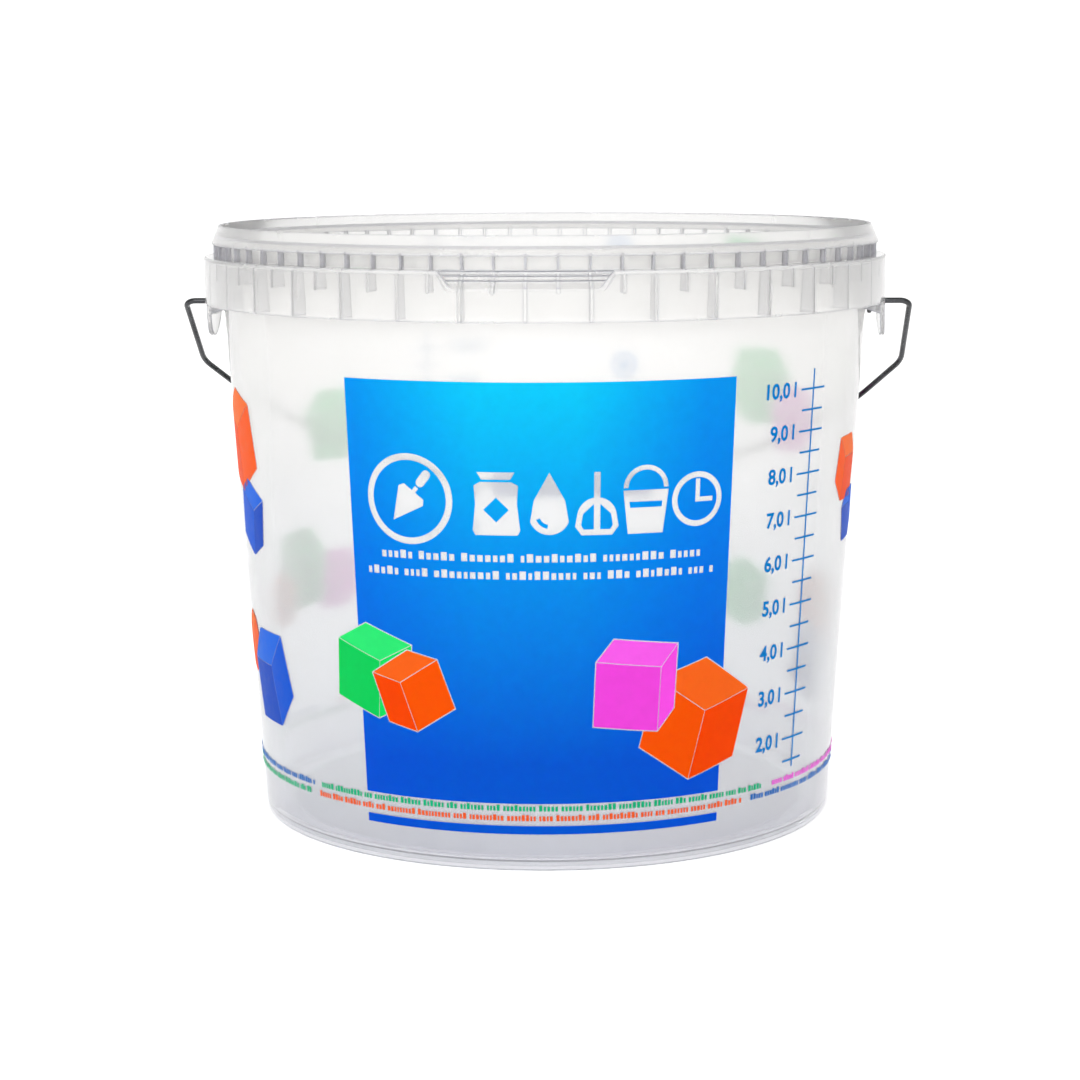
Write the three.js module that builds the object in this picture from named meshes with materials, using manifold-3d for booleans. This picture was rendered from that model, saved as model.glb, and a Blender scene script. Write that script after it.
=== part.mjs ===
// A graduated mixing bucket: a clear moulded tub with a ribbed collar and two ears, a steel wire
// bail hooked into the ears, and a plastic grip that turns on the bail.
//
// Millimetres, +Z up. The origin is the centre of the foot, on the ground. The finger notch is at
// the front, -Y. The ears are at -X and +X, and the bail hangs down behind the tub, +Y.
// The tub is one moulding: its foot, floor, wall, collar, rim and ears meet on shared flat faces.

import * as THREE from "three";
import { mergeVertices } from "three/addons/utils/BufferGeometryUtils.js";
import Module from "manifold-3d";

const wasm = await Module();
wasm.setup();

// Tub
const HEIGHT = 256;
const GROUND_RADIUS = 125.7; // of the wall's outer cone, at ground level
const TAPER = 0.0628; // outer radius gained per millimetre of height
const WALL = 1.6;
const FACETS = 72; // one facet edge at each rib
const FOOT_HEIGHT = 1.6;
const FOOT_INNER_RADIUS = 113;
const FOOT_CHAMFER = 1.3;
const FLOOR_TOP = 4;

// Collar: a shelf that stands out from the wall, with a skirt that hangs from its edge
const COLLAR_BOTTOM = 222.7;
const COLLAR_TOP = 242.7;
const SKIRT_RADIUS = 147.8;
const SKIRT = 1.4;
const RIB = 1;
const RIB_PITCH = 5; // degrees
const RIB_ROOT_RADIUS = 139.4; // inside the wall's thickness
const LONG_RIB_BOTTOM = 223.5;
const SHORT_RIB_BOTTOM = 234;

// Rim: the wall above the shelf, with a snap bead for a lid
const BEAD_RADIUS = 144.5;
const BEAD_BOTTOM = 248;
const BEAD_EDGE = 0.9; // height of the bead's blunt edge
const LIP_RADIUS = 141.4; // outer radius of the flat top
const NECK_RIB_RADIUS = 144;
const NECK_RIB_ROOT_RADIUS = 140.5;

// Finger notch: a sloping dip in the collar's front edge
const NOTCH_HALF_WIDTH = 34.5; // at the shelf
const NOTCH_FLOOR_HALF_WIDTH = 27.5;
const NOTCH_DEPTH = 6.8;
const NOTCH_TOP_RADIUS = 142.4; // where the slope meets the shelf
const NOTCH_SHELL_DROP = 2.8; // leaves the slope about as thick as the skirt
const NOTCH_CURVE_STEPS = 6;

// Ears
const EAR_HALF_WIDTH = 14;
const EAR_WINDOW_RADIUS = 141.2; // the ears stay outside this
const LUG = 2;
const LUG_DROP = 15.7; // below the skirt
const WEB_ANGLE = 5; // degrees each side of the ear's middle
const WEB_BOTTOM = 218;
const BOSS_RADIUS = 5.5;
const BOSS_INNER_X = 143.6;
const HOLE_RADIUS = 1.7;
const LUG_CURVE_STEPS = 12;
const BOSS_FACETS = 24;
const HOLE_FACETS = 20;

// Bail
const PIVOT_Z = 222;
const WIRE_RADIUS = 1.3;
const WIRE_SIDES = 10;
const HANG_ANGLE = 35.5; // degrees below level, where the grip lies against the wall
const BAIL_REACH = 172.3; // from the pivot axis to the grip's axis
const SHOULDER_X = 159;
const FOOT_X = 141.9; // the hooked end, behind the ear
const FOOT_LENGTH = 9;
const BOW_RADIUS = 164;
const BOW_CENTRE = 2; // distance of the bow's centre from the pivot axis
const BOW_FROM = 26.5; // degrees from the middle of the bail
const BOW_TO = 63;
const BOW_STEPS = 12;
const BOW_LEAD = 4; // straight run before the bow starts
const SEAT_X = 51.1; // corner where the wire leaves the grip's seat
const SEAT_BEND = 8; // radii of the wire's bends
const BOW_START_BEND = 16;
const BOW_END_BEND = 22;
const SHOULDER_BEND = 4.5;
const HOOK_BEND = 2.6;
const BEND_STEPS = 5;

// Grip
const GRIP_RADIUS = 6.5;
const GRIP_BORE_RADIUS = 1.7;
const GRIP_HALF_LENGTH = 40;
const GRIP_OFFSET = 6; // it lies a little to the right on its seat
const GRIP_ROUND = 2;
const GRIP_FACETS = 24;

const MERGE_DISTANCE = 1e-4;

const wallRadius = (z) => GROUND_RADIUS + TAPER * z;
const radians = THREE.MathUtils.degToRad;

const natural = new THREE.MeshStandardMaterial({
  color: 0xe9eaea,
  roughness: 0.35,
  metalness: 0,
  transparent: true,
  opacity: 0.6,
});
const steel = new THREE.MeshStandardMaterial({ color: 0x55575a, roughness: 0.35, metalness: 1 });
const blue = new THREE.MeshStandardMaterial({ color: 0x1b4fa8, roughness: 0.5, metalness: 0 });

// A solid for joining and cutting.
function solidOf(geometry) {
  const bare = geometry.index ? geometry.toNonIndexed() : geometry.clone();
  bare.deleteAttribute("normal");
  bare.deleteAttribute("uv");
  const merged = mergeVertices(bare, MERGE_DISTANCE);
  return new wasm.Manifold(
    new wasm.Mesh({
      numProp: 3,
      vertProperties: merged.attributes.position.array,
      triVerts: Uint32Array.from(merged.index.array),
    }),
  );
}

function geometryOf(solid) {
  const mesh = solid.getMesh();
  const geometry = new THREE.BufferGeometry()
    .setAttribute("position", new THREE.BufferAttribute(mesh.vertProperties, 3))
    .setIndex(new THREE.BufferAttribute(mesh.triVerts, 1));
  geometry.computeVertexNormals();
  return geometry;
}

function joined(solids) {
  return solids.reduce((sum, next) => sum.add(next));
}

// Turns an outline of [radius, height] points about Z. Its points run anticlockwise.
// An outline that doesn't start on the axis is a ring, and closes on itself.
function turned(outline, facets = FACETS) {
  const points = outline.map(([radius, z]) => new THREE.Vector2(radius, z));
  if (outline[0][0] > 0) points.push(points[0].clone());
  return new THREE.LatheGeometry(points, facets).rotateX(Math.PI / 2);
}

// A box from its lowest corner to its highest.
function block(low, high) {
  const size = high.map((value, i) => value - low[i]);
  const middle = high.map((value, i) => (value + low[i]) / 2);
  return new THREE.BoxGeometry(...size).translate(...middle);
}

// A rod along X.
function rod(radius, fromX, toX, z, sides) {
  return new THREE.CylinderGeometry(radius, radius, toX - fromX, sides)
    .rotateZ(Math.PI / 2)
    .translate((fromX + toX) / 2, 0, z);
}

// An upright plate that points out from the axis. Azimuth 0 is the front, and 90 is +X.
function rib(azimuth, fromRadius, toRadius, fromZ, toZ) {
  return block([fromRadius, -RIB / 2, fromZ], [toRadius, RIB / 2, toZ]).rotateZ(
    radians(azimuth - 90),
  );
}

// Azimuths of all the ribs.
function ribAzimuths() {
  return Array.from({ length: 360 / RIB_PITCH }, (_, i) => i * RIB_PITCH);
}

function isAtEar(azimuth) {
  const fromEar = Math.abs(Math.abs(azimuth - 180) - 90);
  return fromEar <= WEB_ANGLE;
}

function footRing() {
  return turned([
    [FOOT_INNER_RADIUS, 0],
    [wallRadius(0) - FOOT_CHAMFER, 0],
    [wallRadius(FOOT_HEIGHT), FOOT_HEIGHT],
    [FOOT_INNER_RADIUS, FOOT_HEIGHT],
  ]);
}

function floorPlate() {
  return turned([
    [0, FOOT_HEIGHT],
    [wallRadius(FOOT_HEIGHT), FOOT_HEIGHT],
    [wallRadius(FLOOR_TOP), FLOOR_TOP],
    [0, FLOOR_TOP],
  ]);
}

function tubWall() {
  return turned([
    [wallRadius(FLOOR_TOP) - WALL, FLOOR_TOP],
    [wallRadius(FLOOR_TOP), FLOOR_TOP],
    [wallRadius(COLLAR_BOTTOM), COLLAR_BOTTOM],
    [wallRadius(COLLAR_BOTTOM) - WALL, COLLAR_BOTTOM],
  ]);
}

// The notch's outline from the front, grown by a margin, as a bar that runs through the collar.
function notchBar(margin) {
  const top = COLLAR_TOP + SKIRT;
  const bottom = COLLAR_TOP - NOTCH_DEPTH - margin;
  const wide = NOTCH_HALF_WIDTH + margin;
  const narrow = NOTCH_FLOOR_HALF_WIDTH + margin;
  const middle = (wide + narrow) / 2;
  const outline = new THREE.Shape();
  outline.moveTo(wide, top);
  outline.lineTo(-wide, top);
  outline.lineTo(-wide, COLLAR_TOP);
  outline.bezierCurveTo(-middle, COLLAR_TOP, -middle, bottom, -narrow, bottom);
  outline.lineTo(narrow, bottom);
  outline.bezierCurveTo(middle, bottom, middle, COLLAR_TOP, wide, COLLAR_TOP);
  return new THREE.ExtrudeGeometry(outline, {
    depth: SKIRT_RADIUS,
    bevelEnabled: false,
    curveSegments: NOTCH_CURVE_STEPS,
  }).rotateX(Math.PI / 2);
}

// All that lies above and outside the notch's slope, lowered by a drop.
function aboveSlope(drop) {
  const reach = SKIRT_RADIUS + SKIRT - NOTCH_TOP_RADIUS;
  const slope = NOTCH_DEPTH / (SKIRT_RADIUS - NOTCH_TOP_RADIUS);
  const top = COLLAR_TOP + SKIRT;
  return turned([
    [NOTCH_TOP_RADIUS, COLLAR_TOP - drop],
    [NOTCH_TOP_RADIUS + reach, COLLAR_TOP - drop - reach * slope],
    [NOTCH_TOP_RADIUS + reach, top],
    [NOTCH_TOP_RADIUS, top],
  ]);
}

function collar() {
  const shelfUnderside = COLLAR_TOP - SKIRT;
  const section = turned([
    [wallRadius(COLLAR_BOTTOM) - WALL, COLLAR_BOTTOM],
    [wallRadius(COLLAR_BOTTOM), COLLAR_BOTTOM],
    [wallRadius(shelfUnderside), shelfUnderside],
    [SKIRT_RADIUS - SKIRT, shelfUnderside],
    [SKIRT_RADIUS - SKIRT, COLLAR_BOTTOM],
    [SKIRT_RADIUS, COLLAR_BOTTOM],
    [SKIRT_RADIUS, COLLAR_TOP],
    [wallRadius(COLLAR_TOP) - WALL, COLLAR_TOP],
  ]);
  const ribs = ribAzimuths()
    .filter((azimuth) => !isAtEar(azimuth))
    .map((azimuth) => {
      const bottom = azimuth % (2 * RIB_PITCH) === 0 ? LONG_RIB_BOTTOM : SHORT_RIB_BOTTOM;
      const skirtMiddle = SKIRT_RADIUS - SKIRT / 2;
      return solidOf(rib(azimuth, RIB_ROOT_RADIUS, skirtMiddle, bottom, COLLAR_TOP - SKIRT / 2));
    });
  const envelope = solidOf(
    turned([
      [NOTCH_TOP_RADIUS - SKIRT, COLLAR_BOTTOM],
      [SKIRT_RADIUS, COLLAR_BOTTOM],
      [SKIRT_RADIUS, COLLAR_TOP],
      [NOTCH_TOP_RADIUS - SKIRT, COLLAR_TOP],
    ]),
  );
  const notchShell = solidOf(notchBar(SKIRT))
    .intersect(solidOf(aboveSlope(NOTCH_SHELL_DROP)))
    .intersect(envelope);
  const notch = solidOf(notchBar(0)).intersect(solidOf(aboveSlope(0)));
  let body = joined([solidOf(section), ...ribs, notchShell]).subtract(notch);
  for (const side of [-1, 1]) body = body.subtract(earWindow(side));
  return geometryOf(body);
}

// The room that an ear takes in the collar.
function earWindow(side) {
  const near = EAR_WINDOW_RADIUS;
  const far = SKIRT_RADIUS + SKIRT;
  const low = side > 0 ? near : -far;
  const high = side > 0 ? far : -near;
  return solidOf(
    block(
      [low, -EAR_HALF_WIDTH, COLLAR_BOTTOM - LUG_DROP],
      [high, EAR_HALF_WIDTH, COLLAR_TOP - SKIRT],
    ),
  );
}

// The right ear: a piece of the skirt with a rounded lug below it, two webs, and a boss round
// the hole that the wire goes through.
function rightEar() {
  const shelfUnderside = COLLAR_TOP - SKIRT;
  const skirt = solidOf(
    turned([
      [SKIRT_RADIUS - SKIRT, COLLAR_BOTTOM - RIB],
      [SKIRT_RADIUS, COLLAR_BOTTOM - RIB],
      [SKIRT_RADIUS, shelfUnderside],
      [SKIRT_RADIUS - SKIRT, shelfUnderside],
    ]),
  ).intersect(
    solidOf(
      block(
        [0, -EAR_HALF_WIDTH, COLLAR_BOTTOM],
        [SKIRT_RADIUS + SKIRT, EAR_HALF_WIDTH, shelfUnderside],
      ),
    ),
  );
  const shield = new THREE.Shape();
  shield.moveTo(-EAR_HALF_WIDTH, COLLAR_BOTTOM + RIB);
  shield.lineTo(-EAR_HALF_WIDTH, COLLAR_BOTTOM);
  shield.absellipse(0, COLLAR_BOTTOM, EAR_HALF_WIDTH, LUG_DROP, Math.PI, 2 * Math.PI, false, 0);
  shield.lineTo(EAR_HALF_WIDTH, COLLAR_BOTTOM + RIB);
  const bar = new THREE.ExtrudeGeometry(shield, {
    depth: SKIRT_RADIUS,
    bevelEnabled: false,
    curveSegments: LUG_CURVE_STEPS,
  })
    .rotateX(Math.PI / 2)
    .rotateZ(Math.PI / 2);
  const lug = solidOf(bar).intersect(
    solidOf(
      turned([
        [SKIRT_RADIUS - LUG, COLLAR_BOTTOM - LUG_DROP - RIB],
        [SKIRT_RADIUS, COLLAR_BOTTOM - LUG_DROP - RIB],
        [SKIRT_RADIUS, COLLAR_BOTTOM + 2 * RIB],
        [SKIRT_RADIUS - LUG, COLLAR_BOTTOM + 2 * RIB],
      ]),
    ),
  );
  const webs = [-WEB_ANGLE, WEB_ANGLE].map((offset) =>
    solidOf(
      rib(90 + offset, EAR_WINDOW_RADIUS + RIB, SKIRT_RADIUS - SKIRT / 2, WEB_BOTTOM, shelfUnderside),
    ),
  );
  const boss = solidOf(rod(BOSS_RADIUS, BOSS_INNER_X, SKIRT_RADIUS - LUG / 2, PIVOT_Z, BOSS_FACETS));
  const hole = solidOf(rod(HOLE_RADIUS, FOOT_X, SKIRT_RADIUS + SKIRT, PIVOT_Z, HOLE_FACETS));
  return geometryOf(joined([skirt, lug, ...webs, boss]).subtract(hole));
}

function rim() {
  const section = solidOf(
    turned([
      [wallRadius(COLLAR_TOP) - WALL, COLLAR_TOP],
      [wallRadius(COLLAR_TOP), COLLAR_TOP],
      [wallRadius(BEAD_BOTTOM), BEAD_BOTTOM],
      [BEAD_RADIUS, BEAD_BOTTOM],
      [BEAD_RADIUS, BEAD_BOTTOM + BEAD_EDGE],
      [LIP_RADIUS, HEIGHT],
      [wallRadius(HEIGHT) - WALL, HEIGHT],
    ]),
  );
  const ribs = ribAzimuths().map((azimuth) =>
    solidOf(
      rib(azimuth, NECK_RIB_ROOT_RADIUS, NECK_RIB_RADIUS, COLLAR_TOP, BEAD_BOTTOM + BEAD_EDGE / 2),
    ),
  );
  return geometryOf(joined([section, ...ribs]));
}

// The wire's corners in the bail's own plane, from the middle of the grip's seat out to the
// hooked end: [x, distance from the pivot axis, bend radius]. Radius 0 is a point on the bow.
function halfBailCorners() {
  const onBow = (angle) => [
    BOW_RADIUS * Math.sin(radians(angle)),
    BOW_CENTRE + BOW_RADIUS * Math.cos(radians(angle)),
  ];
  const [startX, startY] = onBow(BOW_FROM);
  const [endX, endY] = onBow(BOW_TO);
  const runToShoulder = (SHOULDER_X - endX) / Math.cos(radians(BOW_TO));
  const corners = [
    [0, BAIL_REACH, 0],
    [SEAT_X, BAIL_REACH, SEAT_BEND],
    [
      startX - BOW_LEAD * Math.cos(radians(BOW_FROM)),
      startY + BOW_LEAD * Math.sin(radians(BOW_FROM)),
      BOW_START_BEND,
    ],
  ];
  for (let i = 0; i <= BOW_STEPS; i++) {
    const angle = BOW_FROM + ((BOW_TO - BOW_FROM) * i) / BOW_STEPS;
    corners.push([...onBow(angle), 0]);
  }
  corners.push(
    [SHOULDER_X, endY - runToShoulder * Math.sin(radians(BOW_TO)), BOW_END_BEND],
    [SHOULDER_X, 0, SHOULDER_BEND],
    [FOOT_X, 0, HOOK_BEND],
    [FOOT_X, FOOT_LENGTH, 0],
  );
  return corners;
}

// Points along a line of corners, with each bend as an arc of its own radius.
function withBends(corners) {
  const points = [];
  corners.forEach(([x, y, radius], i) => {
    const corner = new THREE.Vector3(x, y, 0);
    if (radius === 0) {
      points.push(corner);
      return;
    }
    const before = new THREE.Vector3(corners[i - 1][0], corners[i - 1][1], 0).sub(corner);
    const after = new THREE.Vector3(corners[i + 1][0], corners[i + 1][1], 0).sub(corner);
    before.normalize();
    after.normalize();
    const half = before.angleTo(after) / 2;
    const toCentre = before.clone().add(after).setLength(radius / Math.sin(half));
    const centre = corner.clone().add(toCentre);
    const start = corner.clone().addScaledVector(before, radius / Math.tan(half)).sub(centre);
    const turn = Math.PI - 2 * half;
    const axis = after.clone().cross(before).normalize();
    for (let step = 0; step <= BEND_STEPS; step++) {
      points.push(start.clone().applyAxisAngle(axis, (turn * step) / BEND_STEPS).add(centre));
    }
  });
  return points;
}

// A path through stations that needn't be evenly spaced.
class StationPath extends THREE.Curve {
  constructor(stations) {
    super();
    this.stations = stations;
  }

  getPointAt(share, target = new THREE.Vector3()) {
    const last = this.stations.length - 1;
    return target.copy(this.stations[Math.round(share * last)]);
  }

  getTangentAt(share, target = new THREE.Vector3()) {
    const last = this.stations.length - 1;
    const i = Math.round(share * last);
    const next = this.stations[Math.min(i + 1, last)];
    const previous = this.stations[Math.max(i - 1, 0)];
    return target.copy(next).sub(previous).normalize();
  }
}

function bailWire() {
  const right = withBends(halfBailCorners());
  const left = right
    .slice(1)
    .reverse()
    .map((point) => new THREE.Vector3(-point.x, point.y, point.z));
  const stations = [...left, ...right.slice(1)];
  const section = new THREE.Shape();
  section.absarc(0, 0, WIRE_RADIUS, 0, 2 * Math.PI, false);
  return new THREE.ExtrudeGeometry(section, {
    steps: stations.length - 1,
    curveSegments: WIRE_SIDES / 2, // a whole circle is cut into twice this many
    bevelEnabled: false,
    extrudePath: new StationPath(stations),
  });
}

function grip() {
  const outline = [
    [GRIP_BORE_RADIUS, -GRIP_HALF_LENGTH],
    [GRIP_RADIUS - GRIP_ROUND, -GRIP_HALF_LENGTH],
    [GRIP_RADIUS, GRIP_ROUND - GRIP_HALF_LENGTH],
    [GRIP_RADIUS, GRIP_HALF_LENGTH - GRIP_ROUND],
    [GRIP_RADIUS - GRIP_ROUND, GRIP_HALF_LENGTH],
    [GRIP_BORE_RADIUS, GRIP_HALF_LENGTH],
  ];
  return turned(outline, GRIP_FACETS).rotateY(Math.PI / 2);
}

function mesh(name, geometry, material) {
  const made = new THREE.Mesh(geometry, material.clone());
  made.name = name;
  return made;
}

const bucket = new THREE.Group();
bucket.add(
  mesh("foot_ring", footRing(), natural),
  mesh("floor_plate", floorPlate(), natural),
  mesh("tub_wall", tubWall(), natural),
  mesh("collar", collar(), natural),
  mesh("rim", rim(), natural),
);
const rightEarMesh = mesh("ear_right", rightEar(), natural);
const leftEarMesh = mesh("ear_left", rightEar(), natural);
leftEarMesh.rotation.z = Math.PI;
bucket.add(rightEarMesh, leftEarMesh);

const bail = new THREE.Group();
bail.position.z = PIVOT_Z;
bail.rotation.x = -radians(HANG_ANGLE);
const gripMesh = mesh("grip", grip(), blue);
gripMesh.position.set(GRIP_OFFSET, BAIL_REACH, 0);
bail.add(mesh("bail_wire", bailWire(), steel), gripMesh);
bucket.add(bail);

export default bucket;
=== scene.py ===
"""The looks of a graduated mixing bucket: a milky clear tub with printed ink, a steel wire bail
and a plastic grip. All shapes are drawn in millimetres, in the frame of the CAD, with +Z up.
Azimuth is in degrees from the front (-Y), positive towards +X."""

import math

import bmesh
import bpy
from mathutils import Matrix, Vector


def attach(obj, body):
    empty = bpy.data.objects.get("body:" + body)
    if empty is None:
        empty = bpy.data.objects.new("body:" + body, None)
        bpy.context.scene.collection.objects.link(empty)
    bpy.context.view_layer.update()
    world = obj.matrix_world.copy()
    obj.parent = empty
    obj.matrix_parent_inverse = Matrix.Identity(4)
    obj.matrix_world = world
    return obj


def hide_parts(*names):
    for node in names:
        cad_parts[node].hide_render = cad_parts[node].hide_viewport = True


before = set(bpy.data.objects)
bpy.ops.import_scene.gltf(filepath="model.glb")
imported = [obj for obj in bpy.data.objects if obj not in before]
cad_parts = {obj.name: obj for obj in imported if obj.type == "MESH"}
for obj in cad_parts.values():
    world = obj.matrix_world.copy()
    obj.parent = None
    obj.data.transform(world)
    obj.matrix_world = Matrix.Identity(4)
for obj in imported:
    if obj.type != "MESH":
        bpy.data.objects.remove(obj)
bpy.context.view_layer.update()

MM = 0.001

# Tub
GROUND_RADIUS = 125.7
TAPER = 0.0628
WALL = 1.6
HEIGHT = 256.0
FLOOR_TOP = 4.0
FLOOR_UNDERSIDE = 1.6
FOOT_INNER_RADIUS = 113.0
COLLAR_BOTTOM = 222.7
COLLAR_TOP = 242.7
SKIRT_RADIUS = 147.8
SKIRT = 1.4
BEAD_RADIUS = 144.5
BEAD_BOTTOM = 248.0
BEAD_EDGE = 0.9
LIP_RADIUS = 141.3
LATHE_STEPS = 288
LATHE_LEAN = 0.022  # most that a lathed face may look sideways
EAR_ZONE = 140.0  # beyond this |x| the flat ears begin

# Ribs
RIB = 1.0
RIB_PITCH = 5
LONG_RIB_BOTTOM = 223.3
SHORT_RIB_BOTTOM = 234.0

# Finger notch
NOTCH_HALF_WIDTH = 34.5
NOTCH_FLOOR_HALF_WIDTH = 27.5
NOTCH_DEPTH = 6.8
NOTCH_TOP_RADIUS = 142.4

# Ears
EAR_HALF_WIDTH = 14.0
LUG_DROP = 15.7
PIVOT_Z = 222.0
HOLE_RADIUS = 1.7
BOSS_RADIUS = 5.5

# Bail
WIRE_RADIUS = 1.236
WIRE_SIDES = 20
HANG_ANGLE = 35.5
BAIL_REACH = 172.3
SHOULDER_X = 159.0
FOOT_X = 141.9
FOOT_LENGTH = 9.0
BOW_RADIUS = 164.0
BOW_CENTRE = 2.0
BOW_FROM = 26.5
BOW_TO = 63.0
BOW_STEPS = 36
BOW_LEAD = 4.0
SEAT_X = 51.1
SEAT_BEND = 8.0
BOW_START_BEND = 16.0
BOW_END_BEND = 22.0
SHOULDER_BEND = 4.5
HOOK_BEND = 2.6
BEND_STEPS = 10

# Grip
GRIP_RADIUS = 6.5
GRIP_BORE_RADIUS = 1.7
GRIP_HALF_LENGTH = 40.0
GRIP_OFFSET = 6.0
GRIP_ROUND = 2.0

# Print
PRINT_STEP = 1.25  # degrees between the cuts that let a print bend round the wall
MM_PER_DEGREE = 2.31
INK_GAP = 0.03
INK = 0.05


def wall_radius(z):
    return GROUND_RADIUS + TAPER * z


def around(azimuth, radius, z):
    a = math.radians(azimuth)
    return Vector((radius * math.sin(a), -radius * math.cos(a), z))


# ---------------------------------------------------------------- meshes


def link(name, mesh):
    made = bpy.data.objects.new(name, mesh)
    bpy.context.scene.collection.objects.link(made)
    return made


def object_of(name, bm):
    """A new object of a bmesh in millimetres, with its faces turned outwards."""
    bmesh.ops.recalc_face_normals(bm, faces=bm.faces)
    bmesh.ops.scale(bm, vec=(MM, MM, MM), verts=bm.verts)
    mesh = bpy.data.meshes.new(name)
    bm.to_mesh(mesh)
    bm.free()
    return link(name, mesh)


def smooth(obj, degrees=32):
    mesh = obj.data
    mesh.polygons.foreach_set("use_smooth", [True] * len(mesh.polygons))
    mesh.set_sharp_from_angle(angle=math.radians(degrees))
    return obj


def baked(obj):
    """Swap the object's mesh for the one its modifiers make."""
    bpy.context.view_layer.update()
    graph = bpy.context.evaluated_depsgraph_get()
    mesh = bpy.data.meshes.new_from_object(obj.evaluated_get(graph))
    obj.modifiers.clear()
    old = obj.data
    obj.data = mesh
    bpy.data.meshes.remove(old)
    return mesh


def true_round(obj, flat_beyond):
    """Let large faces keep their own normals and turn those of lathed faces straight off the axis."""
    modifier = obj.modifiers.new("weights", "WEIGHTED_NORMAL")
    modifier.weight = 100
    modifier.keep_sharp = True
    mesh = baked(obj)
    normals = []
    for corner, loop in enumerate(mesh.loops):
        place = mesh.vertices[loop.vertex_index].co
        normal = Vector(mesh.corner_normals[corner].vector)
        outward = Vector((place.x, place.y, 0)).normalized()
        sideways = Vector((-outward.y, outward.x, 0))
        lean = normal.dot(sideways)
        if abs(lean) < LATHE_LEAN and abs(place.x) < flat_beyond:
            normal -= lean * sideways
        normals.append(normal.normalized())
    mesh.normals_split_custom_set(normals)


def combine(obj, other, operation):
    """Joins another closed object to this one, or cuts it out, and drops the other."""
    modifier = obj.modifiers.new("combine", "BOOLEAN")
    modifier.operation = operation
    modifier.solver = "MANIFOLD"
    modifier.object = other
    baked(obj)
    bpy.data.objects.remove(other)
    return obj


def rounded(points):
    """An outline of (r, z, fillet) corners as (r, z) points, each fillet an arc of six steps."""
    made = []
    count = len(points)
    for i, (r, z, fillet) in enumerate(points):
        corner = Vector((r, z))
        if fillet == 0:
            made.append(corner)
            continue
        before = (Vector(points[i - 1][:2]) - corner).normalized()
        after = (Vector(points[(i + 1) % count][:2]) - corner).normalized()
        half = before.angle(after) / 2
        centre = corner + (before + after).normalized() * (fillet / math.sin(half))
        start = corner + before * (fillet / math.tan(half)) - centre
        end = corner + after * (fillet / math.tan(half)) - centre
        turn = start.angle_signed(end)
        for step in range(7):
            made.append(centre + Matrix.Rotation(-turn * step / 6, 2) @ start)
    return made


def lathe(bm, outline, steps=LATHE_STEPS):
    """Turns a closed outline about Z. Outline points on the axis become one vertex each."""
    rings = []
    for r, z in outline:
        if r < 1e-6:
            rings.append([bm.verts.new((0, 0, z))])
        else:
            rings.append([bm.verts.new(around(360 * i / steps, r, z)) for i in range(steps)])
    for ring, following in zip(rings, rings[1:] + rings[:1]):
        if len(ring) == 1 and len(following) == 1:
            continue
        for i in range(steps):
            j = (i + 1) % steps
            corners = [ring[i % len(ring)], ring[j % len(ring)]]
            corners += [following[j % len(following)], following[i % len(following)]]
            bm.faces.new(list(dict.fromkeys(corners)))
    return bm


def box(bm, low, high, turn=None):
    corners = [
        Vector((x, y, z)) for x in (low[0], high[0]) for y in (low[1], high[1]) for z in (low[2], high[2])
    ]
    if turn is not None:
        corners = [turn @ c for c in corners]
    v = [bm.verts.new(c) for c in corners]
    for face in ((0, 1, 3, 2), (4, 6, 7, 5), (0, 4, 5, 1), (2, 3, 7, 6), (0, 2, 6, 4), (1, 5, 7, 3)):
        bm.faces.new([v[i] for i in face])


def rib(bm, azimuth, from_radius, to_radius, from_z, to_z, thick=RIB):
    """An upright plate that points out from the axis."""
    turn = Matrix.Rotation(math.radians(azimuth - 90), 3, "Z")
    box(bm, (from_radius, -thick / 2, from_z), (to_radius, thick / 2, to_z), turn)


def extruded(bm, outline, low, high, place):
    """A bar of a 2-D outline between two depths. place(u, v, depth) gives each corner."""
    near = [bm.verts.new(place(u, v, low)) for u, v in outline]
    far = [bm.verts.new(place(u, v, high)) for u, v in outline]
    bm.faces.new(near)
    bm.faces.new(far)
    for i in range(len(outline)):
        j = (i + 1) % len(outline)
        bm.faces.new((near[i], near[j], far[j], far[i]))


# ---------------------------------------------------------------- tub


def tub_outline():
    """The whole moulding's section, anticlockwise, from under the floor round to its top."""
    shelf_underside = COLLAR_TOP - SKIRT
    inner = lambda z: wall_radius(z) - WALL
    corners = [
        (0, FLOOR_UNDERSIDE, 0),
        (FOOT_INNER_RADIUS - 0.5, FLOOR_UNDERSIDE, 0.4),
        (FOOT_INNER_RADIUS + 0.3, 0, 0.4),
        (wall_radius(0) - 0.3, 0, 1.3),
        (wall_radius(shelf_underside), shelf_underside, 0.8),
        (SKIRT_RADIUS - SKIRT, shelf_underside, 0.6),
        (SKIRT_RADIUS - SKIRT + 0.1, COLLAR_BOTTOM, 0.3),
        (SKIRT_RADIUS, COLLAR_BOTTOM, 0.5),
        (SKIRT_RADIUS, COLLAR_TOP, 0.7),
        (wall_radius(COLLAR_TOP), COLLAR_TOP, 0.5),
        (wall_radius(252.6), 252.6, 0.25),
        (BEAD_RADIUS - 1.0, BEAD_BOTTOM, 0.25),
        (BEAD_RADIUS, BEAD_BOTTOM, 0.3),
        (BEAD_RADIUS, BEAD_BOTTOM + BEAD_EDGE, 0.25),
        (LIP_RADIUS, HEIGHT, 0.35),
        (inner(HEIGHT), HEIGHT, 0.35),
        (inner(FLOOR_TOP), FLOOR_TOP, 3.0),
        (0, FLOOR_TOP, 0),
    ]
    return rounded(corners)


def s_curve(x0, z0, x1, z1, steps=12):
    """From (x0, z0) to (x1, z1), level at both ends."""
    points = []
    for i in range(steps + 1):
        t = i / steps
        points.append((x0 + (x1 - x0) * t, z0 + (z1 - z0) * (3 * t * t - 2 * t * t * t)))
    return points


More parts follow.
